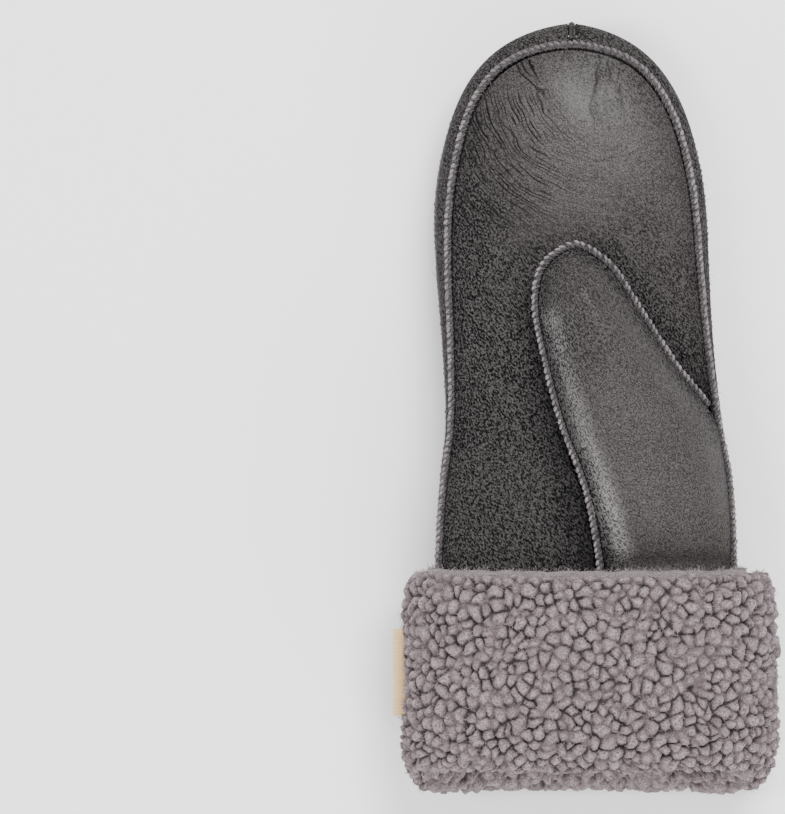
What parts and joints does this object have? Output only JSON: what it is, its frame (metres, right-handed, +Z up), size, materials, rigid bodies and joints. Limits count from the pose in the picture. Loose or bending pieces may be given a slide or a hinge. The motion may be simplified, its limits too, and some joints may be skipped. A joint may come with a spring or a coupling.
{
  "type": "lined leather mitten",
  "caption": "Right-hand leather mitten lined with fleece, with a separate thumb, overcast seams and a deep turned-back fleece cuff.",
  "frame": {"origin": "middle of the overall box seen from above, on the surface that the mitten lies on", "axes": "+Y from the mouth to the fingertip, +X to the thumb side, +Z up out of the palm"},
  "size_m": [0.1346, 0.269, 0.058],
  "materials": {
    "leather": "smooth dark grey nappa with fine pores, soft sheen",
    "seam_thread": "mauve-grey overcast thread over the leather edges",
    "cut_edge": "suede side and cut edge of the turned-back skin",
    "fleece": "curly sheared wool in small clumps, matt mauve-grey",
    "label_tape": "plain beige woven tape, bare"
  },
  "bodies": {
    "root": {"back_panel": "leather", "side_band_outer": "leather", "side_band_thumb": "leather", "palm_panel": "leather", "thumb_front": "leather", "thumb_back": "leather", "back_seam": "seam_thread", "palm_seam": "seam_thread", "thumb_seam": "seam_thread", "tip_seam": "seam_thread", "cuff_skin": "cut_edge", "cuff_fleece": "fleece", "label": "label_tape"}
  },
  "joints": []
}
